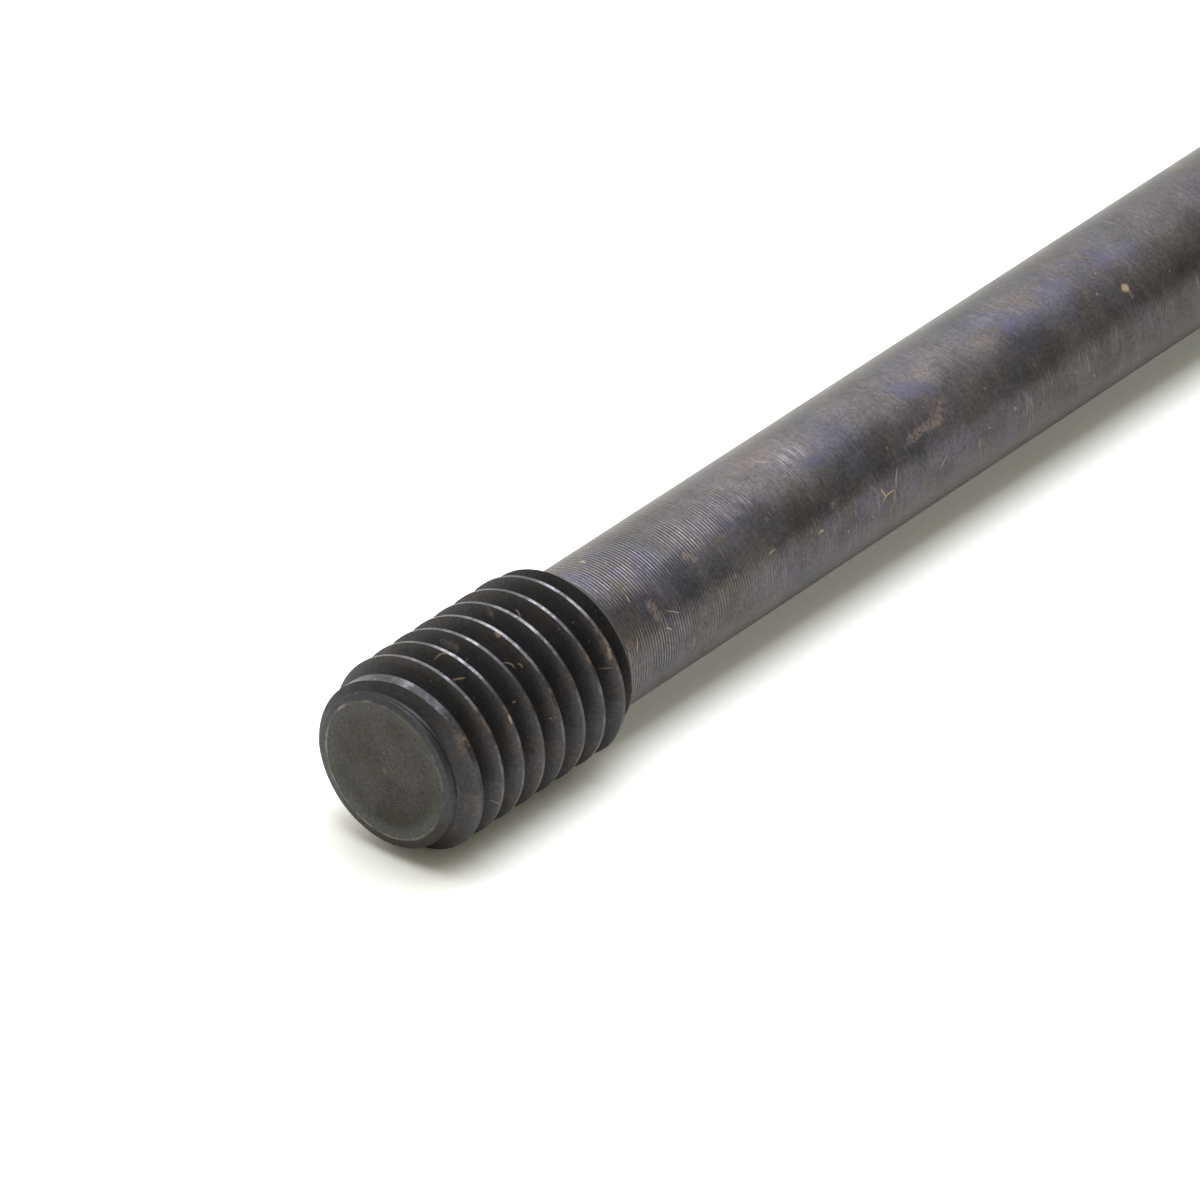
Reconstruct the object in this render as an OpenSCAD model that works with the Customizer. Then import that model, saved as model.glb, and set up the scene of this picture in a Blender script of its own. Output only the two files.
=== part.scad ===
// Cylinder head stud: one bar of steel, turned down between its two threads.
// It lies on its threads, with the block end towards -X and the nut end towards +X.
// Each thread is modelled as a plain cylinder of its major diameter.

/* [Overall] */
// Length of the stud from one end face to the other
stud_len = 160; // [90:1:300]

/* [Shank] */
// Diameter of the plain shank between the threads
shank_d = 7.7; // [7:0.1:9.6]

/* [Block end] */
// Major diameter of the thread that screws into the cylinder block
block_thread_d = 9.8; // [9.7:0.1:14]
// Length of full thread from the end face to where it starts to run out
block_thread_len = 12.5; // [8:0.1:30]
// Diameter of the flat end face
block_face_d = 7.3; // [5:0.1:8.3]

/* [Nut end] */
// Major diameter of the thread that takes the cylinder head nut
nut_thread_d = 9.8; // [9.7:0.1:14]
// Length of full thread from the end face to where it starts to run out
nut_thread_len = 24; // [8:0.1:40]
// Diameter of the flat end face
nut_face_d = 7.3; // [5:0.1:8.3]

/* [Edges] */
// Width of the steep bevel round each end face, outwards from the face
bevel_width = 0.65; // [0.1:0.05:1.2]
// Length of that bevel along the stud
bevel_len = 0.22; // [0.05:0.01:0.5]
// Slope of the lead chamfer from the bevel up to each thread, from the axis
lead_angle = 45; // [30:5:60]
// Slope of the shoulder where each thread runs out into the shank, from the axis
runout_angle = 40; // [20:5:70]

/* [Hidden] */
$fn = 144;

shank_r = shank_d / 2;

// The fatter thread carries the stud, so the axis is its radius above the ground
axis_height = max(block_thread_d, nut_thread_d) / 2;

// Axial length of a cone that climbs from one radius to another
function cone_len(r_low, r_high, angle) = (r_high - r_low) / tan(angle);

// Outline of one end as [radius, distance from the end face], from the face inwards
function end_outline(thread_r, thread_len, face_r) = [
    [0, 0],
    [face_r, 0],
    [face_r + bevel_width, bevel_len],
    [thread_r, bevel_len + cone_len(face_r + bevel_width, thread_r, lead_angle)],
    [thread_r, thread_len],
    [shank_r, thread_len + cone_len(shank_r, thread_r, runout_angle)]
];

block_outline = end_outline(block_thread_d / 2, block_thread_len, block_face_d / 2);
nut_outline = end_outline(nut_thread_d / 2, nut_thread_len, nut_face_d / 2);

// The nut end is the same kind of outline, counted back from the far end face
nut_outline_reversed = [
    for (i = [len(nut_outline) - 1 : -1 : 0]) [nut_outline[i][0], stud_len - nut_outline[i][1]]
];

module stud() {
    color("dimgray")
    translate([-stud_len / 2, 0, axis_height])
    rotate([0, 90, 0])
    rotate_extrude()
    polygon(concat(block_outline, nut_outline_reversed));
}

stud();
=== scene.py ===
import math

from types import SimpleNamespace

import bpy
from mathutils import Matrix, Vector


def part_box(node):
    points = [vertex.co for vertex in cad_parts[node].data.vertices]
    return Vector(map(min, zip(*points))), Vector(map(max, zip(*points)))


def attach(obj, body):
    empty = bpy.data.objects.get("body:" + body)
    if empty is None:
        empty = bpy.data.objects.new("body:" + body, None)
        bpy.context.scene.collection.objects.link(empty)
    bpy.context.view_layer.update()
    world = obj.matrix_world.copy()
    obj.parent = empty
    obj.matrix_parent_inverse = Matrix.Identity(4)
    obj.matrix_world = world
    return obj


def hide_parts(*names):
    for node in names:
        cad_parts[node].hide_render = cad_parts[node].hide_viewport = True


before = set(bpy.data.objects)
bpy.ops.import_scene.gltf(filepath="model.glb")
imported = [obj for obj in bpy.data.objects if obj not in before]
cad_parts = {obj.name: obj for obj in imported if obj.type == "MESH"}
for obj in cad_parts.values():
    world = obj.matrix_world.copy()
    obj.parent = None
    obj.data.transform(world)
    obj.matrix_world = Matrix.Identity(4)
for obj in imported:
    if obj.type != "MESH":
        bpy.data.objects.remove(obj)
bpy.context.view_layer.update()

MM = 0.001

# The stud: its box, and so its axis and its crests, come from the frame. The axis lies along X and the
# block end is at low X.
STUD_LOW, STUD_HIGH = (Vector(corner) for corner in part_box("stud"))
AXIS_HEIGHT = 0.5 * (STUD_LOW.z + STUD_HIGH.z)
CREST_RADIUS = 0.5 * (STUD_HIGH.z - STUD_LOW.z)
FACE_RADIUS = 3.65 * MM
SHANK_RADIUS = 3.85 * MM

# Thread: 60 degree form, coarse pitch for this diameter. At CREST_TURN round the axis a crest stands
# CREST_AT from the end face. The thread form stands CREST_OVERLAP proud of the blank that it is cut to,
# and outside the thread it is wider than the blank by FORM_CLEARANCE.
HALF_ANGLE = math.radians(30.0)
PITCH = 1.5 * MM
ROOT_ROUND = 0.12 * PITCH
ROOT_RADIUS = CREST_RADIUS - (7.0 / 16.0) * PITCH * math.sqrt(3.0) + ROOT_ROUND
BLOCK_THREAD_LENGTH = 12.5 * MM
NUT_THREAD_LENGTH = 24.0 * MM
CREST_AT = 2.845 * MM
CREST_TURN = math.radians(157.57)
CREST_OVERLAP = 0.05 * MM
FORM_CLEARANCE = 1.3

# How far the crests have filled up near the end face, as (turn along the screw, part of full height).
# Turn 0 is the crest at CREST_AT.
RAMP_FROM = -2.0
RAMP_TO = 0.0
CREST_RAMP = [(-2.0, 0.04), (-1.94, 0.05), (-1.92, 0.17), (-1.75, 0.22), (-1.50, 0.32), (-1.35, 0.42),
              (-1.23, 0.50), (-1.17, 0.64), (-1.11, 0.71), (-1.06, 0.83), (-0.97, 0.86), (-0.93, 1.0),
              (0.0, 1.0)]

# Each end: a low bevel round the face, then a 45 degree lead up to the crests. The face has a small
# centre pip. Behind the thread a shoulder runs down to the shank at RUN_OUT_ANGLE to the axis.
BEVEL_LENGTH = 0.22 * MM
BEVEL_RADIUS = 4.30 * MM
LEAD_LENGTH = 0.82 * MM
PIP_DEPTH = 0.03 * MM
PIP_RADIUS = 0.22 * MM
RIM_ROUND = 0.035 * MM
RUN_OUT_ANGLE = math.radians(40.0)
BEHIND_SHOULDER = 0.5 * MM

# Fineness of the mesh: columns round the stud, rows along the shank, and turns of each thread form,
# which starts TURNS_BEFORE turns ahead of the crest at CREST_AT.
COLUMNS = 160
SHANK_ROWS = 40
BLOCK_TURNS = 16
NUT_TURNS = 24
TURNS_BEFORE = 5

# Gaps closed within a grid and between the ends and the shank, how near an end's back its faces are
# taken off, and the bend that still looks smooth.
GRID_WELD = 1e-6
SEAM_WELD = 2e-6
BACK_MARGIN = 1e-5
SMOOTH_BELOW = math.radians(24.0)

# How far the lathe tool moves each turn, and how far behind a thread the shank's finish begins.
SHANK_FEED = 0.191 * MM
FACE_FEED = 0.16 * MM
BEHIND_THREAD = 1.15 * MM

# How deep or high each pattern stands, and how much finer the streaks are along the axis than round it.
GROOVE_DEPTH = 0.0075 * MM
GRAIN_HEIGHT = 0.0048 * MM
STREAK_HEIGHT = 0.0022 * MM
PIT_DEPTH = 0.010 * MM
STREAK_FINER = (9.0, 1.0, 1.0)

# How strongly noise breaks the edge of a mark.
TORN_EDGE = 8.0
CLOUDY_EDGE = 9.0

# Sides of the stud: (from, to, softness), in degrees round the axis from +Y, with 90 on top.
# Side where the crests carry a painted highlight.
CREST_HIGHLIGHT_SIDE = (88.0, 128.0, 14.0)
# Side where the painted shade in the grooves is strongest.
GROOVE_SHADE_SIDE = (98.0, 123.0, 6.0)
SMOOTH_SIDE = (128.0, 151.0, 5.0)
BROWN_LINE = (141.0, 149.0, 3.0)
# Side where the rim carries its painted highlight.
RIM_HIGHLIGHT_SIDE = (-130.0, 70.0, 30.0)
UNDERSIDE = (-160.0, -45.0, 20.0)

# Colours of the finish, and of painted sheen, shade and highlight.
FILM_GREY = (0.102, 0.096, 0.101, 1.0)
FILM_VIOLET = (0.096, 0.091, 0.113, 1.0)
FILM_BROWN = (0.121, 0.101, 0.094, 1.0)
SCUFFED_FILM = (0.215, 0.185, 0.180, 1.0)
FLANK_BLACK = (0.077, 0.075, 0.083, 1.0)
FLANK_DIRT = (0.092, 0.084, 0.084, 1.0)
# Bevel: a painted bluish sheen above and painted shade below.
BEVEL_SHEEN_ABOVE = (0.074, 0.072, 0.082, 1.0)
BEVEL_SHADE_BELOW = (0.056, 0.053, 0.049, 1.0)
CREST_STEEL = (0.98, 0.95, 1.07)
CREST_BROWN = (0.24, 0.17, 0.13, 1.0)
FACE_DARK = (0.048, 0.046, 0.041, 1.0)
FACE_PALE = (0.074, 0.072, 0.069, 1.0)
FACE_NEAR_RIM = (0.100, 0.099, 0.096, 1.0)
CENTRE_SPOT = (0.130, 0.130, 0.085, 1.0)
RIM_BARE_AND_HIGHLIGHT = (0.240, 0.235, 0.220, 1.0)
PALE_SPECK = (0.34, 0.29, 0.24, 1.0)
PIT_BLACK = (0.030, 0.028, 0.028, 1.0)
# Colour of the painted bluish sheen along the shank.
BLUE_SHEEN = (0.080, 0.080, 0.138, 1.0)
PALE_SCUFF = (0.30, 0.255, 0.250, 1.0)
RUST_BROWN = (0.220, 0.158, 0.122, 1.0)
STRAW_PALE = (0.46, 0.37, 0.24, 1.0)

# Marks on the skin: (mm along, degrees round, mm long, mm wide, degrees leaning, mm bent, ragged).
RUST_MARKS = [
    (1.1, 145.0, 1.2, 0.40, 105.0, 0.0, 0.3),
    (5.2, 87.0, 1.0, 0.22, 88.0, 0.0, 0.5),
    (8.3, 85.0, 0.5, 0.15, 107.0, 0.0, 0.4),
    (11.7, 142.0, 1.9, 0.30, 90.0, 0.0, 0.3),
    (16.3, 145.0, 1.3, 0.70, 80.0, 0.0, 0.5),
    (20.0, 127.0, 0.8, 0.40, 40.0, 0.0, 0.5),
    (22.0, 157.0, 0.4, 0.30, 0.0, 0.0, 0.5),
    (29.7, 152.0, 0.5, 0.40, 0.0, 0.0, 0.5),
    (32.7, 161.0, 1.0, 0.20, 53.0, 0.0, 0.3),
    (37.3, 141.0, 3.0, 0.50, 0.0, 0.2, 0.4),
    (38.6, 139.0, 1.2, 0.70, -20.0, 0.0, 0.5),
    (39.2, 132.0, 0.6, 0.35, -13.0, 0.0, 0.4),
    (53.8, 143.0, 0.5, 0.25, 95.0, 0.0, 0.2),
]
STRAW_MARKS = [
    (9.6, 94.0, 0.5, 0.06, 111.0, 0.05, 0.05),
    (3.9, 93.0, 0.6, 0.05, 56.0, 0.08, 0.05),
    (3.7, 111.0, 0.5, 0.07, 57.0, 0.0, 0.05),
    (6.7, 121.0, 0.6, 0.06, 73.0, 0.06, 0.05),
    (6.9, 126.0, 0.3, 0.05, 77.0, 0.05, 0.05),
    (11.5, 157.0, 0.4, 0.04, 15.0, 0.0, 0.0),
    (2.8, -164.0, 0.3, 0.07, 20.0, 0.0, 0.05),
    (4.3, 149.0, 0.4, 0.16, 95.0, 0.0, 0.1),
    (5.4, 143.0, 0.1, 0.08, 0.0, 0.0, 0.05),
    (7.0, 104.0, 0.3, 0.12, 90.0, 0.0, 0.1),
    (11.7, 149.0, 0.5, 0.12, 95.0, 0.0, 0.1),
    (15.6, 79.0, 0.4, 0.18, 88.0, 0.05, 0.1),
    (15.3, 127.0, 0.4, 0.07, 101.0, 0.0, 0.05),
    (17.4, 153.0, 0.9, 0.05, 31.0, 0.0, 0.0),
    (16.8, 162.0, 0.5, 0.10, 36.0, 0.08, 0.05),
    (14.5, 159.0, 0.7, 0.05, 113.0, 0.0, 0.05),
    (27.9, 92.0, 0.9, 0.07, 68.0, -0.22, 0.0),
    (24.8, 156.0, 0.5, 0.08, -10.0, 0.0, 0.05),
    (28.4, 164.0, 0.4, 0.12, 0.0, 0.1, 0.2),
    (33.5, 169.0, 1.0, 0.10, -14.0, 0.15, 0.1),
    (34.3, 161.0, 1.1, 0.06, -64.0, 0.12, 0.05),
    (33.2, 166.0, 0.6, 0.12, 60.0, 0.0, 0.1),
    (37.9, 172.0, 0.7, 0.06, 145.0, 0.05, 0.05),
    (53.7, 136.0, 0.5, 0.45, 25.0, 0.0, 0.05),
]
SCUFF_MARKS = [
    (29.6, 103.0, 2.2, 0.8, 0.0, 0.0, 0.3),
    (24.4, 112.0, 2.4, 1.0, 0.0, 0.0, 0.3),
    (22.5, 119.0, 1.5, 0.4, 0.0, 0.0, 0.3),
    (25.8, 132.0, 1.5, 0.3, -20.0, 0.0, 0.3),
    (16.4, 154.0, 1.2, 1.0, 0.0, 0.0, 0.3),
    (18.5, -176.0, 0.3, 1.3, 0.0, 0.0, 0.2),
]
# Painted bluish sheen: patches in a band along the upper side of the shank.
BLUE_SHEEN_MARKS = [
    (30.0, 116.0, 1.8, 0.8, 25.0, 0.0, 0.6),
    (38.7, 113.0, 2.8, 1.2, 18.0, 0.0, 0.6),
    (46.9, 111.0, 2.6, 1.1, 7.0, 0.0, 0.6),
    (49.9, 106.0, 2.8, 1.2, 2.0, 0.0, 0.6),
    (54.7, 109.0, 2.8, 1.1, 6.0, 0.0, 0.6),
]

# Stage, lights and camera.
FLOOR_SIZE = 6.0
FLOOR_WHITE = 0.86
FLOOR_MIRRORED = 1.08
FLOOR_SEEN = 1.38
FLOOR_TINT = (1.0, 0.998, 0.975, 1.0)
MIRRORED_TINT = (1.0, 0.985, 0.925, 1.0)
BRIGHT_SIDE = (0.72, 0.62, 0.22)
WORLD_DIM = 0.21
WORLD_BRIGHT = 1.36
LAMP_TINT = (1.0, 1.005, 1.07)
LAMP_TARGET = (-0.05, 0.0, 0.0)
CAMERA_PLACE = Vector((-0.453827, -0.324219, 0.333855))
CAMERA_HEADING = math.radians(39.75)
CAMERA_DOWN = math.radians(32.84)
CAMERA_LENS = 375.96


# ---------------------------------------------------------------- node helpers

def put(tree, value, socket):
    """Link an output to the socket, or set the socket to a plain value."""
    if isinstance(value, bpy.types.NodeSocket):
        tree.links.new(value, socket)
    else:
        socket.default_value = value


def add(tree, kind, inputs=None, **settings):
    """Add a node, set its properties, then fill the inputs named or numbered."""
    made = tree.nodes.new(kind)
    for name, value in settings.items():
        setattr(made, name, value)
    for key, value in (inputs or {}).items():
        put(tree, value, made.inputs[key])
    return made


def calc(tree, operation, *values):
    """One step of arithmetic on numbers or sockets."""
    return add(tree, "ShaderNodeMath", dict(enumerate(values)), operation=operation).outputs[0]


def product(tree, first, *others):
    """Multiply values one after the other."""
    for other in others:
        first = calc(tree, "MULTIPLY", first, other)
    return first


def plus(tree, base, amount, mask):
    """`base` plus `amount` times a mask."""
    return calc(tree, "ADD", base, calc(tree, "MULTIPLY", mask, amount))


def vector(tree, x, y, z):
    """A vector put together from three numbers or sockets."""
    return add(tree, "ShaderNodeCombineXYZ", {0: x, 1: y, 2: z}).outputs[0]


def shape_group(name, sizes, counts=()):
    """A geometry group with float inputs `sizes`, integer inputs `counts` and one geometry output."""
    tree = bpy.data.node_groups.new(name, "GeometryNodeTree")
    for label, value in sizes.items():
        socket = tree.interface.new_socket(label, in_out="INPUT", socket_type="NodeSocketFloat")
        socket.default_value = value
    for label, value in dict(counts).items():
        socket = tree.interface.new_socket(label, in_out="INPUT", socket_type="NodeSocketInt")
        socket.default_value = value
    tree.interface.new_socket("Geometry", in_out="OUTPUT", socket_type="NodeSocketGeometry")
    given = tree.nodes.new("NodeGroupInput").outputs
    result = tree.nodes.new("NodeGroupOutput").inputs["Geometry"]
    return tree, given, result


def pick(tree, number, items):
    """One of the vectors in `items`, chosen by a whole number."""
    chosen = tree.nodes.new("GeometryNodeIndexSwitch")
    chosen.data_type = "VECTOR"
    while len(chosen.index_switch_items) < len(items):
        chosen.index_switch_items.new()
    put(tree, number, chosen.inputs["Index"])
    for socket, item in zip(chosen.inputs[1:], items):
        put(tree, item, socket)
    return chosen.outputs[0]


def swept_grid(tree, columns, rows):
    """A unit grid, with each point's part of a turn (0 to 1) and its row number."""
    grid = add(tree, "GeometryNodeMeshGrid", {"Size X": 1.0, "Size Y": 1.0, "Vertices Y": rows})
    put(tree, calc(tree, "ADD", columns, 1), grid.inputs["Vertices X"])
    place = add(tree, "ShaderNodeSeparateXYZ", {0: tree.nodes.new("GeometryNodeInputPosition").outputs[0]})
    turn = calc(tree, "ADD", place.outputs["X"], 0.5)
    up = calc(tree, "ADD", place.outputs["Y"], 0.5)
    row = calc(tree, "MULTIPLY", up, calc(tree, "SUBTRACT", rows, 1))
    return grid.outputs["Mesh"], turn, calc(tree, "ROUND", row)


def wrap_round(tree, mesh, turn, along, radius):
    """Roll the grid round the X axis and close it where its points meet."""
    angle = calc(tree, "MULTIPLY", turn, 2.0 * math.pi)
    across = calc(tree, "MULTIPLY", radius, calc(tree, "COSINE", angle))
    up = calc(tree, "MULTIPLY", radius, calc(tree, "SINE", angle))
    place = vector(tree, along, across, up)
    rolled = add(tree, "GeometryNodeSetPosition", {"Geometry": mesh, "Position": place})
    closed = add(tree, "GeometryNodeMergeByDistance",
                 {"Geometry": rolled.outputs[0], "Distance": GRID_WELD})
    return closed.outputs[0]


# ---------------------------------------------------------------- the turned shape

def shoulder_ends(tree, given, length="Thread Length"):
    """Distances from the end face to the foot of the run-out shoulder and to where the end piece stops."""
    drop = calc(tree, "SUBTRACT", given["Crest Radius"], given["Shank Radius"])
    slope = calc(tree, "DIVIDE", drop, calc(tree, "TANGENT", given["Run Out Angle"]))
    foot = calc(tree, "ADD", given[length], slope)
    return foot, calc(tree, "ADD", foot, given["Behind Shoulder"])


def end_blank_group():
    """The turned end before threading: face, bevel, lead, thread and run-out shoulder, closed behind."""
    tree, given, result = shape_group(
        "end blank",
        {"Face Radius": 0.0, "Bevel Length": 0.0, "Bevel Radius": 0.0, "Lead Length": 0.0,
         "Crest Radius": 0.0, "Thread Length": 0.0, "Shank Radius": 0.0, "Run Out Angle": 0.7,
         "Behind Shoulder": 0.0, "Pip Depth": 0.0, "Pip Radius": 0.0, "Rim Round": 0.0},
        {"Columns": 64},
    )
    foot, back = shoulder_ends(tree, given)
    half_pip = calc(tree, "MULTIPLY", given["Pip Radius"], 0.5)
    face_edge = calc(tree, "SUBTRACT", given["Face Radius"], given["Rim Round"])
    rim_side = calc(tree, "MULTIPLY", given["Rim Round"], 0.3)
    rim_out = calc(tree, "ADD", given["Face Radius"], rim_side)
    half_face = calc(tree, "MULTIPLY", given["Face Radius"], 0.5)
    stations = [
        vector(tree, given["Pip Depth"], 0.0, 0.0),
        vector(tree, calc(tree, "MULTIPLY", given["Pip Depth"], 0.6), half_pip, 0.0),
        vector(tree, 0.0, given["Pip Radius"], 0.0),
        vector(tree, 0.0, half_face, 0.0),
        vector(tree, 0.0, face_edge, 0.0),
        vector(tree, rim_side, rim_out, 0.0),
        vector(tree, given["Bevel Length"], given["Bevel Radius"], 0.0),
        vector(tree, given["Lead Length"], given["Crest Radius"], 0.0),
        vector(tree, given["Thread Length"], given["Crest Radius"], 0.0),
        vector(tree, foot, given["Shank Radius"], 0.0),
        vector(tree, back, given["Shank Radius"], 0.0),
        vector(tree, back, 0.0, 0.0),
    ]
    mesh, turn, row = swept_grid(tree, given["Columns"], len(stations))
    station = add(tree, "ShaderNodeSeparateXYZ", {0: pick(tree, row, stations)})
    put(tree, wrap_round(tree, mesh, turn, station.outputs["X"], station.outputs["Y"]), result)
    return tree


def crest_ramp(tree, turns, root, full):
    """Radius that the crest has reached, `turns` along the screw: it fills up over the first turn or so."""
    part = add(tree, "ShaderNodeMapRange", {"Value": turns, "From Min": RAMP_FROM, "From Max": RAMP_TO})
    curve = add(tree, "ShaderNodeFloatCurve", {"Value": part.outputs[0]})
    line = curve.mapping.curves[0]
    while len(line.points) < len(CREST_RAMP):
        line.points.new(0.5, 0.5)
    for point, (turn, height) in zip(line.points, CREST_RAMP):
        point.location = ((turn - RAMP_FROM) / (RAMP_TO - RAMP_FROM), height)
        point.handle_type = "VECTOR"
    curve.mapping.update()
    rise = calc(tree, "MULTIPLY", curve.outputs[0], calc(tree, "SUBTRACT", full, root))
    return calc(tree, "ADD", root, rise)


def thread_form_group():
    """A long screw of sharp crests and rounded roots, closed at both ends, which the blank is cut to."""
    tree, given, result = shape_group(
        "thread form",
        {"Pitch": 0.0, "Crest Radius": 0.0, "Root Round": 0.0, "Crest At": 0.0, "Crest Turn": 0.0,
         "Low End": 0.0, "High End": 0.0, "Outside Radius": 0.0},
        {"Columns": 64, "Turns": 10},
    )
    slope = 1.0 / math.tan(HALF_ANGLE)
    crest_half = calc(tree, "MULTIPLY", given["Pitch"], 1.0 / 16.0)
    apex = calc(tree, "ADD", given["Crest Radius"], calc(tree, "MULTIPLY", crest_half, slope))
    vee = calc(tree, "SUBTRACT", apex, calc(tree, "MULTIPLY", given["Pitch"], 0.5 * slope))
    centre = calc(tree, "ADD", vee, calc(tree, "MULTIPLY", given["Root Round"], 2.0))
    root = calc(tree, "SUBTRACT", centre, given["Root Round"])
    middle = calc(tree, "MULTIPLY", given["Pitch"], 0.5)
    degrees = [-60.0, -40.0, -20.0, 0.0, 20.0, 40.0, 60.0]
    per_turn = len(degrees) + 2

    helix_rows = calc(tree, "MULTIPLY", given["Turns"], per_turn)
    rows = calc(tree, "ADD", helix_rows, 2)
    mesh, turn, row = swept_grid(tree, given["Columns"], rows)
    helix_row = calc(tree, "SUBTRACT", row, 1)
    number = calc(tree, "FLOOR", calc(tree, "DIVIDE", calc(tree, "ADD", helix_row, 0.5), per_turn))
    phase = calc(tree, "SUBTRACT", helix_row, calc(tree, "MULTIPLY", number, per_turn))
    part_turn = calc(tree, "SUBTRACT", turn, calc(tree, "DIVIDE", given["Crest Turn"], 2.0 * math.pi))
    helix_turn = calc(tree, "ADD", calc(tree, "SUBTRACT", number, TURNS_BEFORE), part_turn)

    over = calc(tree, "ADD", given["Crest Radius"], CREST_OVERLAP)
    crest = crest_ramp(tree, helix_turn, root, over)
    next_crest = crest_ramp(tree, calc(tree, "ADD", helix_turn, 1.0), root, over)
    land = calc(tree, "MULTIPLY", calc(tree, "SUBTRACT", apex, crest), 1.0 / slope)
    next_land = calc(tree, "MULTIPLY", calc(tree, "SUBTRACT", apex, next_crest), 1.0 / slope)
    foot_half = calc(tree, "MULTIPLY", given["Root Round"], 1.001 * math.cos(HALF_ANGLE))
    flank_foot = calc(tree, "SUBTRACT", middle, foot_half)
    land = calc(tree, "MINIMUM", land, flank_foot)
    next_land = calc(tree, "MINIMUM", next_land, flank_foot)
    points = [vector(tree, land, crest, 0.0)]
    for angle in degrees:
        aside = calc(tree, "MULTIPLY", given["Root Round"], math.sin(math.radians(angle)))
        down = calc(tree, "MULTIPLY", given["Root Round"], math.cos(math.radians(angle)))
        height = calc(tree, "SUBTRACT", centre, down)
        limit = crest if angle < 0.0 else next_crest
        out = calc(tree, "ADD", middle, aside)
        points.append(vector(tree, out, calc(tree, "MINIMUM", height, limit), 0.0))
    points.append(vector(tree, calc(tree, "SUBTRACT", given["Pitch"], next_land), next_crest, 0.0))
    form = add(tree, "ShaderNodeSeparateXYZ", {0: pick(tree, calc(tree, "ROUND", phase), points)})

    advance = calc(tree, "MULTIPLY", helix_turn, given["Pitch"])
    free = calc(tree, "ADD", calc(tree, "ADD", given["Crest At"], advance), form.outputs["X"])
    along = calc(tree, "MINIMUM", calc(tree, "MAXIMUM", free, given["Low End"]), given["High End"])
    past_low = calc(tree, "LESS_THAN", free, given["Low End"])
    past_high = calc(tree, "GREATER_THAN", free, given["High End"])
    outside = calc(tree, "MAXIMUM", past_low, past_high)
    wall = calc(tree, "MULTIPLY", outside, given["Outside Radius"])
    inner = calc(tree, "MULTIPLY", calc(tree, "SUBTRACT", 1.0, outside), form.outputs["Y"])
    radius = calc(tree, "ADD", wall, inner)
    first = calc(tree, "LESS_THAN", row, 0.5)
    last = calc(tree, "GREATER_THAN", row, calc(tree, "SUBTRACT", rows, 1.5))
    not_cap = calc(tree, "SUBTRACT", 1.0, calc(tree, "MAXIMUM", first, last))
    put(tree, wrap_round(tree, mesh, turn, along, calc(tree, "MULTIPLY", radius, not_cap)), result)
    return tree


def threaded_end_group():
    """One threaded end, open behind, with its face at the origin and its length along +X."""
    sizes = {"Pitch": 0.0, "Root Round": 0.0, "Crest At": 0.0, "Crest Turn": 0.0, "Face Radius": 0.0,
             "Bevel Length": 0.0, "Bevel Radius": 0.0, "Lead Length": 0.0, "Crest Radius": 0.0,
             "Thread Length": 0.0, "Shank Radius": 0.0, "Run Out Angle": 0.7, "Behind Shoulder": 0.0,
             "Pip Depth": 0.0, "Pip Radius": 0.0, "Rim Round": 0.0}
    tree, given, result = shape_group("threaded end", sizes, {"Columns": 64, "Turns": 10})

    blank = add(tree, "GeometryNodeGroup", node_tree=end_blank_group())
    form = add(tree, "GeometryNodeGroup", node_tree=thread_form_group())
    for group in (blank, form):
        for socket in group.inputs:
            if socket.name in given:
                put(tree, given[socket.name], socket)
    back = shoulder_ends(tree, given)[1]
    put(tree, calc(tree, "MULTIPLY", given["Pitch"], -2.0), form.inputs["Low End"])
    put(tree, calc(tree, "ADD", back, given["Pitch"]), form.inputs["High End"])
    outside = calc(tree, "MULTIPLY", given["Crest Radius"], FORM_CLEARANCE)
    put(tree, outside, form.inputs["Outside Radius"])

    cut = add(tree, "GeometryNodeMeshBoolean", {"Mesh 2": blank.outputs[0]},
              operation="INTERSECT", solver="EXACT")
    tree.links.new(form.outputs[0], cut.inputs["Mesh 2"])
    place = add(tree, "ShaderNodeSeparateXYZ", {0: tree.nodes.new("GeometryNodeInputPosition").outputs[0]})
    behind = calc(tree, "GREATER_THAN", place.outputs["X"], calc(tree, "SUBTRACT", back, BACK_MARGIN))
    opened = add(tree, "GeometryNodeDeleteGeometry", {"Geometry": cut.outputs[0], "Selection": behind},
                 domain="FACE")
    put(tree, opened.outputs[0], result)
    return tree


def shank_group():
    """The plain shank as an open tube between two places along X."""
    tree, given, result = shape_group(
        "shank", {"Low End": 0.0, "High End": 1.0, "Shank Radius": 0.0}, {"Columns": 64, "Rows": 40}
    )
    mesh, turn, row = swept_grid(tree, given["Columns"], given["Rows"])
    share = calc(tree, "DIVIDE", row, calc(tree, "SUBTRACT", given["Rows"], 1))
    length = calc(tree, "SUBTRACT", given["High End"], given["Low End"])
    along = calc(tree, "ADD", given["Low End"], calc(tree, "MULTIPLY", length, share))
    put(tree, wrap_round(tree, mesh, turn, along, given["Shank Radius"]), result)
    return tree


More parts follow.
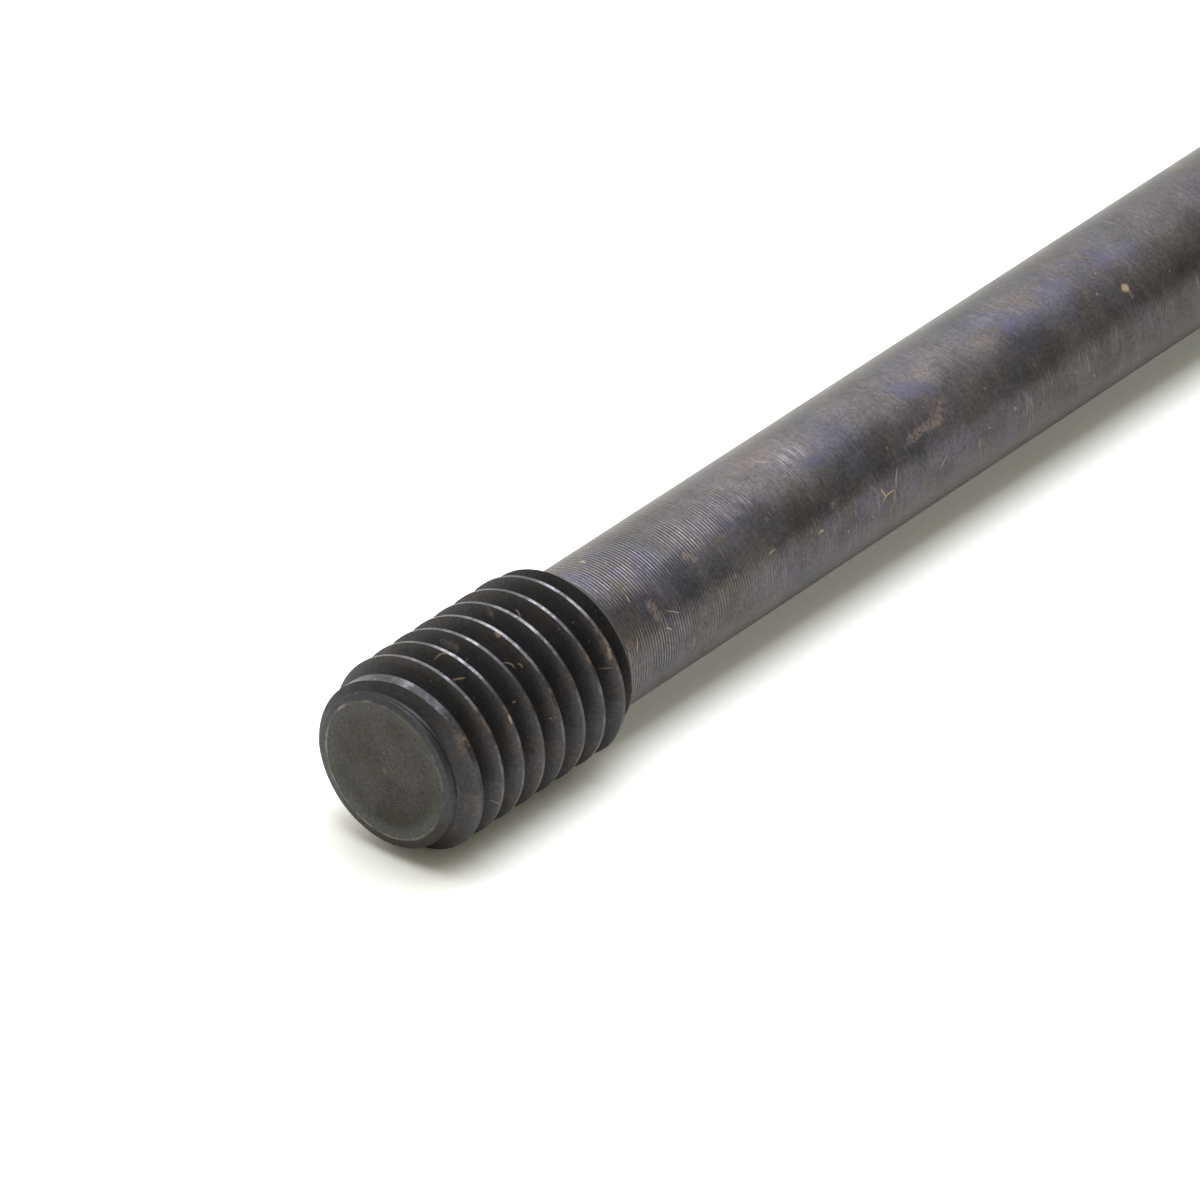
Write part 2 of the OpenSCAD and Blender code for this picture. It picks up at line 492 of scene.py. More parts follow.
def stud_group(material):
    """The whole stud: two threaded ends and the shank, closed into one shell and lying along X."""
    shared = {"Pitch": PITCH, "Root Round": ROOT_ROUND, "Crest At": CREST_AT, "Crest Turn": CREST_TURN,
              "Face Radius": FACE_RADIUS, "Bevel Length": BEVEL_LENGTH, "Bevel Radius": BEVEL_RADIUS,
              "Lead Length": LEAD_LENGTH, "Crest Radius": CREST_RADIUS, "Shank Radius": SHANK_RADIUS,
              "Run Out Angle": RUN_OUT_ANGLE, "Behind Shoulder": BEHIND_SHOULDER,
              "Pip Depth": PIP_DEPTH, "Pip Radius": PIP_RADIUS, "Rim Round": RIM_ROUND}
    own = {"Low Face": STUD_LOW.x, "High Face": STUD_HIGH.x, "Axis Height": AXIS_HEIGHT,
           "Block Thread Length": BLOCK_THREAD_LENGTH, "Nut Thread Length": NUT_THREAD_LENGTH}
    counts = {"Columns": COLUMNS, "Shank Rows": SHANK_ROWS, "Block Turns": BLOCK_TURNS,
              "Nut Turns": NUT_TURNS}
    tree, given, result = shape_group("turned stud", {**shared, **own}, counts)

    ends = []
    end_tree = threaded_end_group()
    for side in ("Block", "Nut"):
        end = add(tree, "GeometryNodeGroup", node_tree=end_tree)
        for socket in end.inputs:
            source = {"Thread Length": side + " Thread Length", "Turns": side + " Turns"}
            put(tree, given[source.get(socket.name, socket.name)], socket)
        ends.append(end.outputs[0])
    block_place = vector(tree, given["Low Face"], 0.0, given["Axis Height"])
    nut_place = vector(tree, given["High Face"], 0.0, given["Axis Height"])
    block_end = add(tree, "GeometryNodeTransform", {"Geometry": ends[0], "Translation": block_place})
    nut_end = add(tree, "GeometryNodeTransform",
                  {"Geometry": ends[1], "Translation": nut_place, "Rotation": (0.0, 0.0, math.pi)})

    low = calc(tree, "ADD", given["Low Face"], shoulder_ends(tree, given, "Block Thread Length")[1])
    high = calc(tree, "SUBTRACT", given["High Face"], shoulder_ends(tree, given, "Nut Thread Length")[1])
    tube = add(tree, "GeometryNodeGroup",
               {"Low End": low, "High End": high, "Shank Radius": given["Shank Radius"],
                "Columns": given["Columns"], "Rows": given["Shank Rows"]}, node_tree=shank_group())
    height = vector(tree, 0.0, 0.0, given["Axis Height"])
    shank = add(tree, "GeometryNodeTransform", {"Geometry": tube.outputs[0], "Translation": height})

    joined = tree.nodes.new("GeometryNodeJoinGeometry")
    for part in (block_end, nut_end, shank):
        tree.links.new(part.outputs[0], joined.inputs[0])
    closed = add(tree, "GeometryNodeMergeByDistance",
                 {"Geometry": joined.outputs[0], "Distance": SEAM_WELD})
    bend = tree.nodes.new("GeometryNodeInputMeshEdgeAngle").outputs["Unsigned Angle"]
    gentle = calc(tree, "LESS_THAN", bend, SMOOTH_BELOW)
    shaded = add(tree, "GeometryNodeSetShadeSmooth",
                 {"Geometry": closed.outputs[0], "Shade Smooth": gentle}, domain="EDGE")
    real = add(tree, "GeometryNodeRealizeInstances", {"Geometry": shaded.outputs[0]})
    finished = add(tree, "GeometryNodeSetMaterial", {"Geometry": real.outputs[0], "Material": material})
    put(tree, finished.outputs[0], result)
    return tree


def grown(name, tree):
    """Evaluate a geometry tree once and keep what it makes as a plain mesh object."""
    seed = bpy.data.objects.new(name + "_seed", bpy.data.meshes.new(name + "_seed"))
    bpy.context.scene.collection.objects.link(seed)
    modifier = seed.modifiers.new("Shape", "NODES")
    modifier.node_group = tree
    for item in tree.interface.items_tree:
        if item.in_out == "INPUT" and item.socket_type != "NodeSocketGeometry":
            modifier[item.identifier] = item.default_value
    evaluated = seed.evaluated_get(bpy.context.evaluated_depsgraph_get())
    mesh = bpy.data.meshes.new_from_object(evaluated)
    mesh.name = name
    bpy.data.objects.remove(seed)
    made = bpy.data.objects.new(name, mesh)
    bpy.context.scene.collection.objects.link(made)
    return made


# ---------------------------------------------------------------- materials

def effect_group(name, inputs, outputs):
    """A shader group; `inputs` gives each socket's default and `outputs` each socket's kind."""
    tree = bpy.data.node_groups.new(name, "ShaderNodeTree")
    for label, value in inputs.items():
        kind = {float: "NodeSocketFloat", tuple: "NodeSocketColor"}.get(type(value), "NodeSocketVector")
        socket = tree.interface.new_socket(label, in_out="INPUT", socket_type=kind)
        if value is not None:
            socket.default_value = value
    for label, kind in outputs.items():
        tree.interface.new_socket(label, in_out="OUTPUT", socket_type="NodeSocket" + kind)
    return tree, tree.nodes.new("NodeGroupInput").outputs, tree.nodes.new("NodeGroupOutput").inputs


def use(tree, group, given):
    """Place a shader group in `tree`, set or link its inputs and return its outputs."""
    return add(tree, "ShaderNodeGroup", given, node_tree=group).outputs


def noise(tree, place, scale, detail=2.0, rough=0.55, seed=0.0):
    """Noise about 0.5 at `place`; `scale` is in features per metre and `seed` moves the pattern."""
    moved = add(tree, "ShaderNodeVectorMath", {0: place, 1: (seed, 0.37 * seed, 0.0)}, operation="ADD")
    made = add(tree, "ShaderNodeTexNoise",
               {"Vector": moved.outputs[0], "Scale": scale, "Detail": detail, "Roughness": rough})
    return made.outputs["Fac"]


def between(tree, value, low, high, from_value=0.0, to_value=1.0):
    """Go smoothly from `from_value` to `to_value` while `value` goes from low to high."""
    made = add(tree, "ShaderNodeMapRange",
               {"Value": value, "From Min": low, "From Max": high,
                "To Min": from_value, "To Max": to_value},
               interpolation_type="SMOOTHSTEP")
    return made.outputs[0]


def within(tree, value, low, high, soft):
    """1 where `value` lies from low to high, with soft edges."""
    rise = between(tree, value, low - soft, low + soft)
    return calc(tree, "MULTIPLY", rise, between(tree, value, high - soft, high + soft, 1.0, 0.0))


def on_side(tree, turn, side):
    """1 on one side of the stud, with soft edges; `side` is (from, to, softness) in degrees."""
    return within(tree, turn, *(math.radians(angle) for angle in side))


def blend(tree, share, first, second):
    """Mix two colours by `share`."""
    made = tree.nodes.new("ShaderNodeMix")
    made.data_type = "RGBA"
    put(tree, share, made.inputs[0])
    put(tree, first, made.inputs[6])
    put(tree, second, made.inputs[7])
    return made.outputs[2]


def pick_value(tree, share, first, second):
    """Mix two numbers by `share`."""
    made = tree.nodes.new("ShaderNodeMix")
    put(tree, share, made.inputs[0])
    put(tree, first, made.inputs[2])
    put(tree, second, made.inputs[3])
    return made.outputs[0]


def scaled(tree, color, level):
    """A colour or place times a number."""
    made = add(tree, "ShaderNodeVectorMath", {0: color, "Scale": level}, operation="SCALE")
    return made.outputs[0]


def round_axis_group():
    """Where a point is round the stud: how far along, how far from the axis, and at what turn."""
    tree, given, result = effect_group(
        "round the axis", {"Place": None, "Axis Height": 0.0, "Low Face": 0.0},
        {"Along": "Float", "Radius": "Float", "Turn": "Float"})
    place = add(tree, "ShaderNodeSeparateXYZ", {0: given["Place"]})
    across = place.outputs["Y"]
    up = calc(tree, "SUBTRACT", place.outputs["Z"], given["Axis Height"])
    put(tree, calc(tree, "SUBTRACT", place.outputs["X"], given["Low Face"]), result["Along"])
    square = calc(tree, "ADD", calc(tree, "MULTIPLY", across, across), calc(tree, "MULTIPLY", up, up))
    put(tree, calc(tree, "SQRT", square), result["Radius"])
    put(tree, calc(tree, "ARCTAN2", up, across), result["Turn"])
    return tree


def turning_marks_group():
    """Grooves a lathe tool leaves, one each `Feed` along `Coordinate`, uneven from groove to groove."""
    tree, given, result = effect_group(
        "turning marks", {"Place": None, "Coordinate": 0.0, "Feed": 0.19 * MM, "Strength": 1.0},
        {"Groove": "Float"})
    drift = calc(tree, "MULTIPLY", noise(tree, given["Place"], 300.0, 2.0), 0.5)
    turns = calc(tree, "ADD", calc(tree, "DIVIDE", given["Coordinate"], given["Feed"]), drift)
    wave = calc(tree, "ABSOLUTE", calc(tree, "SINE", calc(tree, "MULTIPLY", turns, math.pi)))
    groove = calc(tree, "SUBTRACT", 0.62, wave)
    each = add(tree, "ShaderNodeTexWhiteNoise", {"W": calc(tree, "FLOOR", turns)}, noise_dimensions="1D")
    uneven = calc(tree, "ADD", 0.6, calc(tree, "MULTIPLY", each.outputs["Value"], 0.8))
    broken = between(tree, noise(tree, given["Place"], 520.0, 4.0, 0.65, 3.0), 0.34, 0.58, 0.10, 1.30)
    groove = calc(tree, "MULTIPLY", calc(tree, "MULTIPLY", groove, uneven), broken)
    put(tree, calc(tree, "MULTIPLY", groove, given["Strength"]), result["Groove"])
    return tree


def oxide_group():
    """Mottled black oxide: a grey film that drifts to violet and brown, with clouds and fine grain."""
    tree, given, result = effect_group(
        "oxide mottling",
        {"Place": None, "Film": (0.11, 0.11, 0.11, 1.0), "Violet": (0.10, 0.10, 0.13, 1.0),
         "Brown": (0.14, 0.11, 0.09, 1.0)},
        {"Color": "Color", "Cloud": "Float", "Grain": "Float"})
    place = given["Place"]
    violet = between(tree, noise(tree, place, 210.0, 4.0, 0.62, 1.7), 0.44, 0.62)
    brown = between(tree, noise(tree, place, 420.0, 4.0, 0.70, 5.1), 0.50, 0.66)
    color = blend(tree, violet, given["Film"], given["Violet"])
    color = blend(tree, calc(tree, "MULTIPLY", brown, 0.7), color, given["Brown"])
    cloud = noise(tree, place, 330.0, 4.0, 0.66, 8.3)
    grain = noise(tree, place, 5200.0, 2.0, 0.7, 2.9)
    level = calc(tree, "MULTIPLY", between(tree, cloud, 0.30, 0.70, 0.74, 1.26),
                 between(tree, grain, 0.30, 0.70, 0.82, 1.18))
    put(tree, scaled(tree, color, level), result["Color"])
    put(tree, cloud, result["Cloud"])
    put(tree, grain, result["Grain"])
    return tree


def specks_group():
    """Sparse specks: `Share` of the cells `Spacing` apart hold one, `Size` of a cell across."""
    tree, given, result = effect_group(
        "specks", {"Place": None, "Spacing": 1.0 * MM, "Size": 0.1, "Share": 0.3, "Seed": 0.0},
        {"Mask": "Float"})
    wobble = add(tree, "ShaderNodeTexNoise", {"Vector": given["Place"], "Scale": 3500.0, "Detail": 2.0})
    push = scaled(tree, wobble.outputs["Color"], 0.25 * MM)
    moved = add(tree, "ShaderNodeVectorMath", {0: given["Place"], 1: push}, operation="ADD")
    offset = vector(tree, given["Seed"], 0.0, 0.0)
    shifted = add(tree, "ShaderNodeVectorMath", {0: moved.outputs[0], 1: offset}, operation="ADD")
    cells = add(tree, "ShaderNodeTexVoronoi",
                {"Vector": shifted.outputs[0], "Scale": calc(tree, "DIVIDE", 1.0, given["Spacing"])})
    chance = add(tree, "ShaderNodeSeparateColor", {0: cells.outputs["Color"]})
    chosen = calc(tree, "LESS_THAN", chance.outputs[0], given["Share"])
    size = calc(tree, "MULTIPLY", given["Size"], between(tree, chance.outputs[1], 0.0, 1.0, 0.45, 1.4))
    inside = between(tree, calc(tree, "DIVIDE", cells.outputs["Distance"], size), 0.55, 1.1, 1.0, 0.0)
    put(tree, calc(tree, "MULTIPLY", inside, chosen), result["Mask"])
    return tree


def stroke_group():
    """How far a point of the unrolled skin is from one mark: 0 at its middle, 1 at its edge."""
    tree, given, result = effect_group(
        "stroke", {"Skin": None, "Middle": None, "Lean": None, "Half Size": None, "Bend": 0.0,
                   "Torn": 0.0, "Ragged": 0.3}, {"Away": "Float"})
    skin = add(tree, "ShaderNodeMapping",
               {"Vector": given["Skin"], "Location": given["Middle"], "Rotation": given["Lean"],
                "Scale": given["Half Size"]}, vector_type="TEXTURE")
    part = add(tree, "ShaderNodeSeparateXYZ", {0: skin.outputs[0]})
    run = calc(tree, "MULTIPLY", part.outputs["X"], part.outputs["X"])
    off = calc(tree, "SUBTRACT", part.outputs["Y"], calc(tree, "MULTIPLY", run, given["Bend"]))
    away = add(tree, "ShaderNodeVectorMath", {0: vector(tree, run, off, 0.0)}, operation="LENGTH")
    torn = calc(tree, "MULTIPLY", given["Torn"], given["Ragged"])
    put(tree, calc(tree, "ADD", away.outputs["Value"], torn), result["Away"])
    return tree


def strokes(tree, group, skin, torn, marks):
    """One mask for a list of marks: (mm along, degrees round, length, width, lean, bend, ragged)."""
    nearest = 9.0
    for along, turn, length, width, lean, bend, ragged in marks:
        away = use(tree, group, {
            "Skin": skin, "Middle": (along * MM, math.radians(turn) * SHANK_RADIUS, 0.0),
            "Lean": (0.0, 0.0, math.radians(lean)), "Half Size": (0.5 * length * MM, 0.5 * width * MM, 1.0),
            "Bend": 2.0 * bend / width, "Torn": torn, "Ragged": ragged})["Away"]
        nearest = calc(tree, "MINIMUM", nearest, away)
    return between(tree, nearest, 0.35, 1.35, 1.0, 0.0)


def find_zones(tree, place, normal):
    """Where a point is on the stud, and a mask for each part of its surface."""
    whole = STUD_HIGH.x - STUD_LOW.x
    where = use(tree, round_axis_group(),
                {"Place": place, "Axis Height": AXIS_HEIGHT, "Low Face": STUD_LOW.x})
    along = where["Along"]
    radius = where["Radius"]
    turn = where["Turn"]
    from_end = calc(tree, "MINIMUM", along, calc(tree, "SUBTRACT", whole, along))
    nut_half = calc(tree, "GREATER_THAN", along, 0.5 * whole)
    reach = plus(tree, BLOCK_THREAD_LENGTH + BEHIND_THREAD,
                 NUT_THREAD_LENGTH - BLOCK_THREAD_LENGTH, nut_half)

    face = product(tree, calc(tree, "LESS_THAN", from_end, PIP_DEPTH + 0.01 * MM),
                   calc(tree, "LESS_THAN", radius, FACE_RADIUS))
    shank = calc(tree, "GREATER_THAN", from_end, reach)
    thread = calc(tree, "SUBTRACT", 1.0, calc(tree, "MAXIMUM", face, shank))
    by_face = between(tree, from_end, 0.5 * LEAD_LENGTH, 1.2 * LEAD_LENGTH, 1.0, 0.0)
    slant = calc(tree, "ABSOLUTE", add(tree, "ShaderNodeSeparateXYZ", {0: normal}).outputs["X"])
    land = between(tree, slant, 0.10, 0.34, 1.0, 0.0)
    high = between(tree, radius, ROOT_RADIUS + 0.10 * MM, ROOT_RADIUS + 0.18 * MM)
    return SimpleNamespace(
        place=place, along=along, radius=radius, turn=turn, from_end=from_end,
        face=face, shank=shank, thread=thread, bevel=product(tree, by_face, thread),
        crest=product(tree, land, high, thread), underside=on_side(tree, turn, UNDERSIDE))


def lathe_grooves(tree, spot):
    """Turning marks: round the shank, deepest behind the thread, and in rings on the end faces."""
    near = between(tree, spot.from_end, 17.0 * MM, 30.0 * MM, 2.0, 0.0)
    far = between(tree, spot.from_end, 22.0 * MM, 36.0 * MM, 0.5, 0.08)
    kept = plus(tree, 0.95, -0.78, on_side(tree, spot.turn, SMOOTH_SIDE))
    on_shank = product(tree, calc(tree, "MAXIMUM", near, far), kept, spot.shank)
    on_face = between(tree, spot.radius, 0.2 * MM, 2.6 * MM, 0.95, 0.10)
    return use(tree, turning_marks_group(), {
        "Place": spot.place,
        "Coordinate": pick_value(tree, spot.face, spot.along, spot.radius),
        "Feed": pick_value(tree, spot.face, SHANK_FEED, FACE_FEED),
        "Strength": pick_value(tree, spot.face, on_shank, on_face)})["Groove"]


def shank_color(tree, spot, oxide, streak):
    """The oxide film, darker towards mid-length, with pale scuffs and fine streaks."""
    film = scaled(tree, oxide["Color"], between(tree, spot.from_end, 34.0 * MM, 58.0 * MM, 1.0, 0.78))
    patches = between(tree, noise(tree, spot.place, 480.0, 3.0, 0.65, 7.7), 0.50, 0.60)
    scuff = product(tree, between(tree, streak, 0.56, 0.68), patches, 0.45)
    film = blend(tree, scuff, film, SCUFFED_FILM)
    return scaled(tree, film, between(tree, streak, 0.3, 0.7, 0.90, 1.10))


def flank_color(tree, spot, oxide):
    """Near-black flanks with brown dirt, painted sheen towards the crest and painted shade in the root and
    on one side, and a bevel with painted bluish sheen above and painted brown shade below.
    """
    dirt = between(tree, noise(tree, spot.place, 700.0, 3.0, 0.7, 4.4), 0.45, 0.65)
    flank = blend(tree, dirt, FLANK_BLACK, FLANK_DIRT)
    # Painted sheen and shade: flanks lighter towards the crest, darker in the root.
    crest_sheen_root_shade = between(tree, spot.radius, CREST_RADIUS - 0.45 * MM, CREST_RADIUS)
    flank = scaled(tree, flank, plus(tree, 0.96, 0.42, crest_sheen_root_shade))
    # Painted shade on the flanks from 138 to 165 degrees round.
    painted_side_shade = between(tree, spot.turn, math.radians(138.0), math.radians(165.0), 1.0, 0.86)
    flank = scaled(tree, flank, painted_side_shade)
    # Painted light on the bevel: bluish sheen above, darker brown shade below.
    flank = blend(tree, spot.bevel, flank, blend(tree, spot.underside, BEVEL_SHEEN_ABOVE, BEVEL_SHADE_BELOW))
    return scaled(tree, flank, between(tree, oxide["Grain"], 0.3, 0.7, 0.87, 1.13))


def crest_color(tree, spot):
    """Crests rubbed bright in patches, with a painted highlight on the upper side, and a brown line along
    the thread.
    """
    patches = between(tree, noise(tree, spot.place, 800.0, 4.0, 0.66, 2.2), 0.43, 0.61, 0.18, 0.95)
    glints = between(tree, noise(tree, spot.place, 3600.0, 3.0, 0.6, 4.7), 0.36, 0.64, 0.60, 1.25)
    # Painted highlight: the rubbed patches are bright mostly on the upper side.
    highlight_side = plus(tree, 0.06, 0.25, on_side(tree, spot.turn, CREST_HIGHLIGHT_SIDE))
    bare_and_highlight = product(tree, patches, glints, highlight_side)
    worn_and_highlight = product(tree, calc(tree, "ADD", bare_and_highlight, 0.058),
                   between(tree, spot.from_end, 1.5 * MM, 2.6 * MM, 0.55, 1.0))
    stained = between(tree, noise(tree, spot.place, 1500.0, 3.0, 0.6, 9.1), 0.42, 0.55)
    brown = product(tree, on_side(tree, spot.turn, BROWN_LINE), stained)
    return blend(tree, brown, scaled(tree, CREST_STEEL, worn_and_highlight), CREST_BROWN)


def face_color(tree, spot, oxide):
    """Warm grey end faces, paler towards the rim and at the centre spot."""
    color = blend(tree, between(tree, oxide["Cloud"], 0.38, 0.62), FACE_DARK, FACE_PALE)
    near_rim = product(tree, between(tree, spot.radius, 2.7 * MM, 3.45 * MM),
                       plus(tree, 0.35, 0.60, spot.underside))
    color = blend(tree, near_rim, color, FACE_NEAR_RIM)
    color = scaled(tree, color, between(tree, oxide["Grain"], 0.3, 0.7, 0.80, 1.20))
    centre = between(tree, spot.radius, 0.06 * MM, 0.24 * MM, 0.5, 0.0)
    return blend(tree, centre, color, CENTRE_SPOT)


def rim_wear_and_highlight(tree, spot):
    """Mask for the sharp edge of an end face, rubbed bare in patches, with a painted highlight strongest on
    one side.
    """
    edge = within(tree, spot.radius, FACE_RADIUS - 0.07 * MM, FACE_RADIUS + 0.05 * MM, 0.03 * MM)
    front = calc(tree, "LESS_THAN", spot.from_end, 0.08 * MM)
    # Painted highlight: the rim is brightest on one side.
    strength = plus(tree, 0.25, 0.65, on_side(tree, spot.turn, RIM_HIGHLIGHT_SIDE))
    patches = between(tree, noise(tree, spot.place, 700.0, 3.0, 0.6, 1.1), 0.42, 0.58, 0.15, 1.0)
    return product(tree, edge, front, strength, patches)


def skin_marks(tree, spot, oxide, streak):
    """Masks for the marks placed one by one: painted bluish sheen in patches, scuffs, rust and
    straw-coloured fibres.
    """
    stroke = stroke_group()
    skin = vector(tree, spot.along, calc(tree, "MULTIPLY", spot.turn, SHANK_RADIUS), 0.0)
    torn = calc(tree, "SUBTRACT", noise(tree, spot.place, 2200.0, 5.0, 0.7, 3.3), 0.5)
    torn = product(tree, torn, TORN_EDGE)
    cloudy = product(tree, calc(tree, "SUBTRACT", oxide["Cloud"], 0.5), CLOUDY_EDGE)
    return SimpleNamespace(
        blue=strokes(tree, stroke, skin, cloudy, BLUE_SHEEN_MARKS),
        scuff=product(tree, strokes(tree, stroke, skin, torn, SCUFF_MARKS),
                      between(tree, streak, 0.48, 0.62)),
        rust=product(tree, strokes(tree, stroke, skin, torn, RUST_MARKS),
                     between(tree, oxide["Grain"], 0.42, 0.56, 0.3, 1.0)),
        straw=strokes(tree, stroke, skin, torn, STRAW_MARKS))


def black_oxide_material():
    """Black oxide steel: mottled film, turning marks, dark flanks and crests worn brighter, with painted
    highlights, sheen and shade.
    """
    material = bpy.data.materials.new("black_oxide_steel")
    material.use_nodes = True
    tree = material.node_tree
    shader = tree.nodes["Principled BSDF"]
    at = tree.nodes.new("ShaderNodeTexCoord").outputs
    spot = find_zones(tree, at["Object"], at["Normal"])
    oxide = use(tree, oxide_group(), {"Place": spot.place, "Film": FILM_GREY, "Violet": FILM_VIOLET,
                                      "Brown": FILM_BROWN})
    finer = add(tree, "ShaderNodeVectorMath", {0: spot.place, 1: STREAK_FINER}, operation="MULTIPLY")
    streak = noise(tree, finer.outputs[0], 900.0, 3.0, 0.6, 6.0)
    groove = lathe_grooves(tree, spot)

    # Colour of each part of the surface, with painted shade in the grooves, strongest on the upper side.
    shank = shank_color(tree, spot, oxide, streak)
    color = blend(tree, spot.thread, shank, flank_color(tree, spot, oxide))
    color = blend(tree, spot.crest, color, crest_color(tree, spot))
    color = blend(tree, spot.face, color, face_color(tree, spot, oxide))
    # Rim: bare steel wear with a painted highlight.
    color = blend(tree, rim_wear_and_highlight(tree, spot), color, RIM_BARE_AND_HIGHLIGHT)
    # Painted shade: the grooves are darkened, most on the upper side.
    groove_shade = product(tree, groove, plus(tree, 0.6, 0.6, on_side(tree, spot.turn, GROOVE_SHADE_SIDE)))
    color = scaled(tree, color, calc(tree, "SUBTRACT", 1.0, groove_shade))

    # Specks and pits all over, then the marks placed one by one.
    specks = specks_group()
    pale = use(tree, specks, {"Place": spot.place, "Spacing": 0.7 * MM, "Size": 0.090,
                              "Share": 0.28})["Mask"]
    pits = use(tree, specks, {"Place": spot.place, "Spacing": 0.6 * MM, "Size": 0.090,
                              "Share": 0.34, "Seed": 0.37})["Mask"]
    color = blend(tree, product(tree, pale, plus(tree, 0.6, -0.5, spot.face)), color, PALE_SPECK)
    color = blend(tree, product(tree, pits, 0.7), color, PIT_BLACK)

    marks = skin_marks(tree, spot, oxide, streak)
    # Painted sheen: the bluish band along the shank.
    color = blend(tree, product(tree, marks.blue, 0.45), color, BLUE_SHEEN)
    color = blend(tree, product(tree, marks.scuff, 0.42), color, PALE_SCUFF)
    rust_cover = pick_value(tree, spot.thread, 0.55, 0.42)
    color = blend(tree, product(tree, marks.rust, rust_cover), color, RUST_BROWN)
    straw_cover = pick_value(tree, spot.thread, 0.8, 0.6)
    color = blend(tree, product(tree, marks.straw, straw_cover), color, STRAW_PALE)
    put(tree, color, shader.inputs["Base Color"])

    # Rust and fibres are dull and hide the metal; the rubbed crests are as smooth as the shank.
    deposit = calc(tree, "MAXIMUM", marks.rust, marks.straw)
    rough = between(tree, oxide["Cloud"], 0.3, 0.7, 0.30, 0.40)
    for change, zone in ((0.15, spot.thread), (0.12, spot.face), (-0.16, spot.crest), (0.25, deposit)):
        rough = plus(tree, rough, change, zone)
    put(tree, rough, shader.inputs["Roughness"])
    put(tree, plus(tree, 0.92, -0.7, deposit), shader.inputs["Metallic"])

    # Relief too fine for the mesh.
    height = product(tree, groove, -GROOVE_DEPTH)
    for change, pattern in ((GRAIN_HEIGHT, oxide["Grain"]), (STREAK_HEIGHT, streak), (-PIT_DEPTH, pits)):
        height = plus(tree, height, change, pattern)
    bump = add(tree, "ShaderNodeBump", {"Strength": 1.0, "Distance": 1.0, "Height": height})
    put(tree, bump.outputs[0], shader.inputs["Normal"])
    return material


def floor_material():
    """White studio paper; the camera and the steel see it a little brighter, with its shadow."""
    material = bpy.data.materials.new("studio_floor")
    material.use_nodes = True
    tree = material.node_tree
    tree.nodes.clear()
    rays = tree.nodes.new("ShaderNodeLightPath").outputs
    mirrored = calc(tree, "MAXIMUM", rays["Is Glossy Ray"], rays["Is Transmission Ray"])
    shade = plus(tree, FLOOR_WHITE, FLOOR_MIRRORED - FLOOR_WHITE, mirrored)
    shade = plus(tree, shade, FLOOR_SEEN - FLOOR_WHITE, rays["Is Camera Ray"])
    tint = blend(tree, mirrored, FLOOR_TINT, MIRRORED_TINT)
    paper = add(tree, "ShaderNodeBsdfDiffuse", {"Color": scaled(tree, tint, shade)})
    add(tree, "ShaderNodeOutputMaterial", {"Surface": paper.outputs[0]})
    return material


# ---------------------------------------------------------------- pieces

def make_stud():
    """The finished stud, which takes the place of the CAD node."""
    stud = grown("turned_stud", stud_group(black_oxide_material()))
    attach(stud, "root")
    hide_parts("stud")


# ---------------------------------------------------------------- stage, lights and camera

def make_floor():
    """A plain square of studio paper under the stud."""
    mesh = bpy.data.meshes.new("studio_floor")
    half = 0.5 * FLOOR_SIZE
    corners = [(-half, -half, 0.0), (half, -half, 0.0), (half, half, 0.0), (-half, half, 0.0)]
    mesh.from_pydata(corners, [], [(0, 1, 2, 3)])
    mesh.materials.append(floor_material())
    floor = bpy.data.objects.new("studio_floor", mesh)
    bpy.context.scene.collection.objects.link(floor)


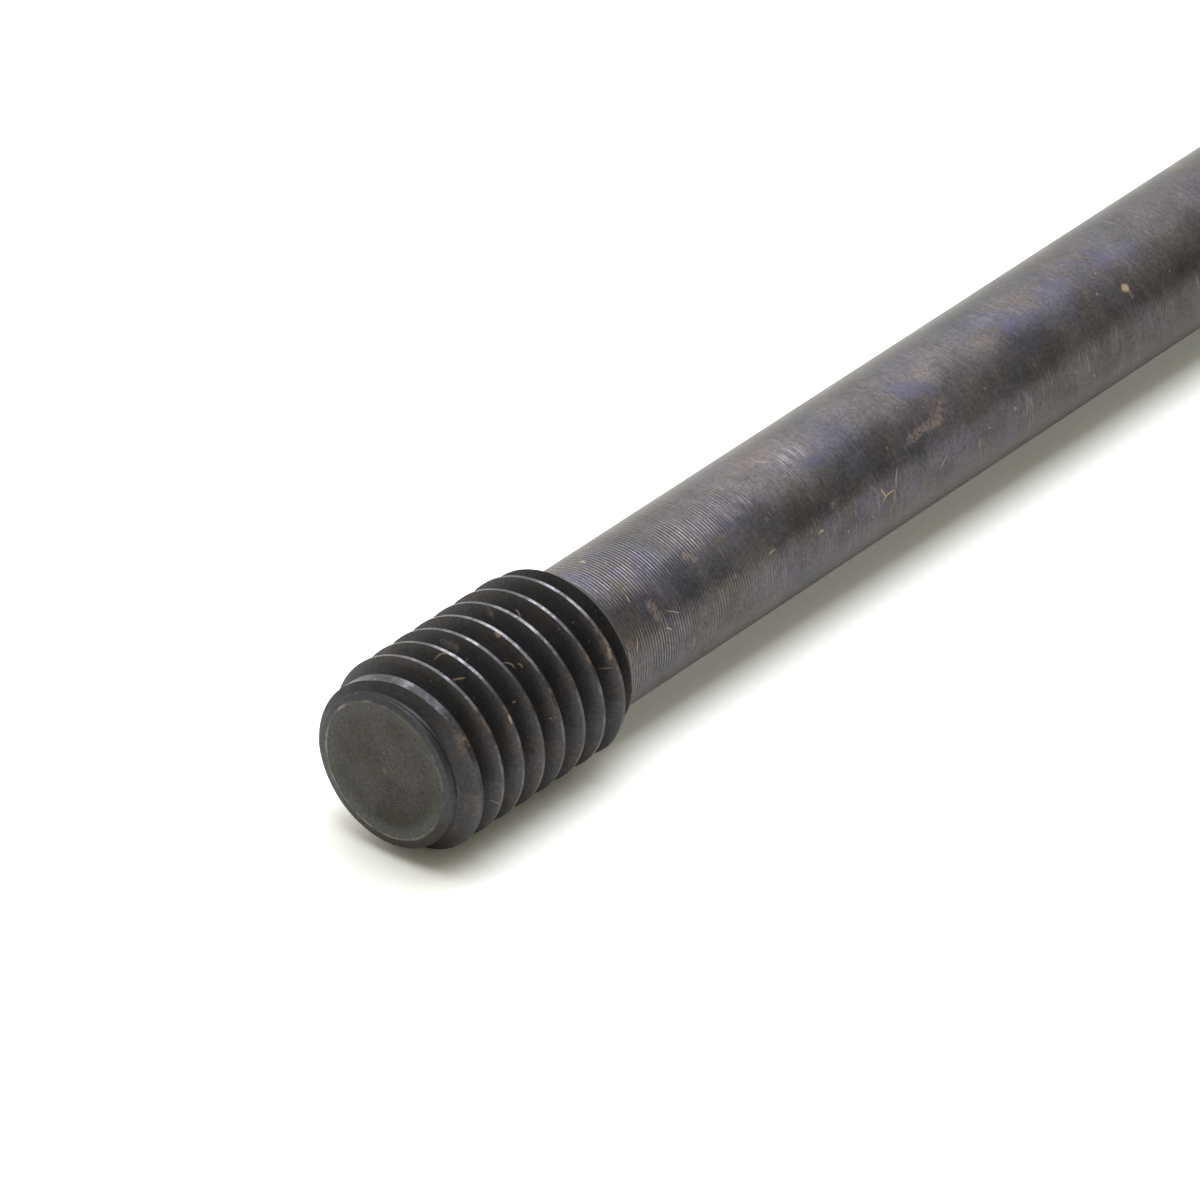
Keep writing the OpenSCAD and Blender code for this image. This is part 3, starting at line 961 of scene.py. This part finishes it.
def make_world():
    """Studio surroundings: bright behind and above the stud, dimmer on the camera's side."""
    world = bpy.data.worlds.new("studio")
    bpy.context.scene.world = world
    world.use_nodes = True
    tree = world.node_tree
    tree.nodes.clear()
    direction = tree.nodes.new("ShaderNodeTexCoord").outputs["Generated"]
    facing = add(tree, "ShaderNodeVectorMath", {0: direction, 1: Vector(BRIGHT_SIDE).normalized()},
                 operation="DOT_PRODUCT")
    level = between(tree, facing.outputs["Value"], -0.3, 1.0)
    around = blend(tree, level, (WORLD_DIM, 0.98 * WORLD_DIM, 0.68 * WORLD_DIM, 1.0),
                   (WORLD_BRIGHT, WORLD_BRIGHT, 0.95 * WORLD_BRIGHT, 1.0))
    seen = tree.nodes.new("ShaderNodeLightPath").outputs["Is Camera Ray"]
    color = blend(tree, seen, around, (1.0, 1.0, 1.0, 1.0))
    sky = add(tree, "ShaderNodeBackground", {"Color": color, "Strength": 1.0})
    add(tree, "ShaderNodeOutputWorld", {"Surface": sky.outputs[0]})


def make_lamp(name, place, target, size, glow):
    """A soft box of `size` (across, up) at `place`, facing `target`; `glow` is how bright it looks."""
    light = bpy.data.lights.new(name, "AREA")
    light.shape = "RECTANGLE"
    light.size = size[0]
    light.size_y = size[1]
    light.energy = glow * math.pi * size[0] * size[1]
    light.color = LAMP_TINT
    lamp = bpy.data.objects.new(name, light)
    lamp.location = place
    lamp.visible_camera = False
    lamp.rotation_euler = (Vector(target) - Vector(place)).to_track_quat("-Z", "Y").to_euler()
    bpy.context.scene.collection.objects.link(lamp)


def make_camera():
    """A long lens beyond the block end and to one side, looking down at the stud."""
    camera = bpy.data.cameras.new("camera")
    camera.lens = CAMERA_LENS
    camera.sensor_width = 36.0
    camera.clip_start = 0.01
    holder = bpy.data.objects.new("camera", camera)
    bpy.context.scene.collection.objects.link(holder)
    tilt = Matrix.Rotation(math.pi / 2.0 - CAMERA_DOWN, 4, "X")
    turn = Matrix.Rotation(CAMERA_HEADING - math.pi / 2.0, 4, "Z")
    holder.matrix_world = Matrix.Translation(CAMERA_PLACE) @ turn @ tilt
    bpy.context.scene.camera = holder


make_camera()
make_world()
make_floor()
make_stud()
make_lamp("soft_box_above", place=(-0.05, -0.10, 1.0), target=LAMP_TARGET, size=(0.8, 0.6), glow=3.7)
make_lamp("soft_box_behind", place=(0.73, 0.35, 0.79), target=LAMP_TARGET, size=(0.95, 0.7), glow=0.95)

scene = bpy.context.scene
scene.view_settings.view_transform = "Standard"
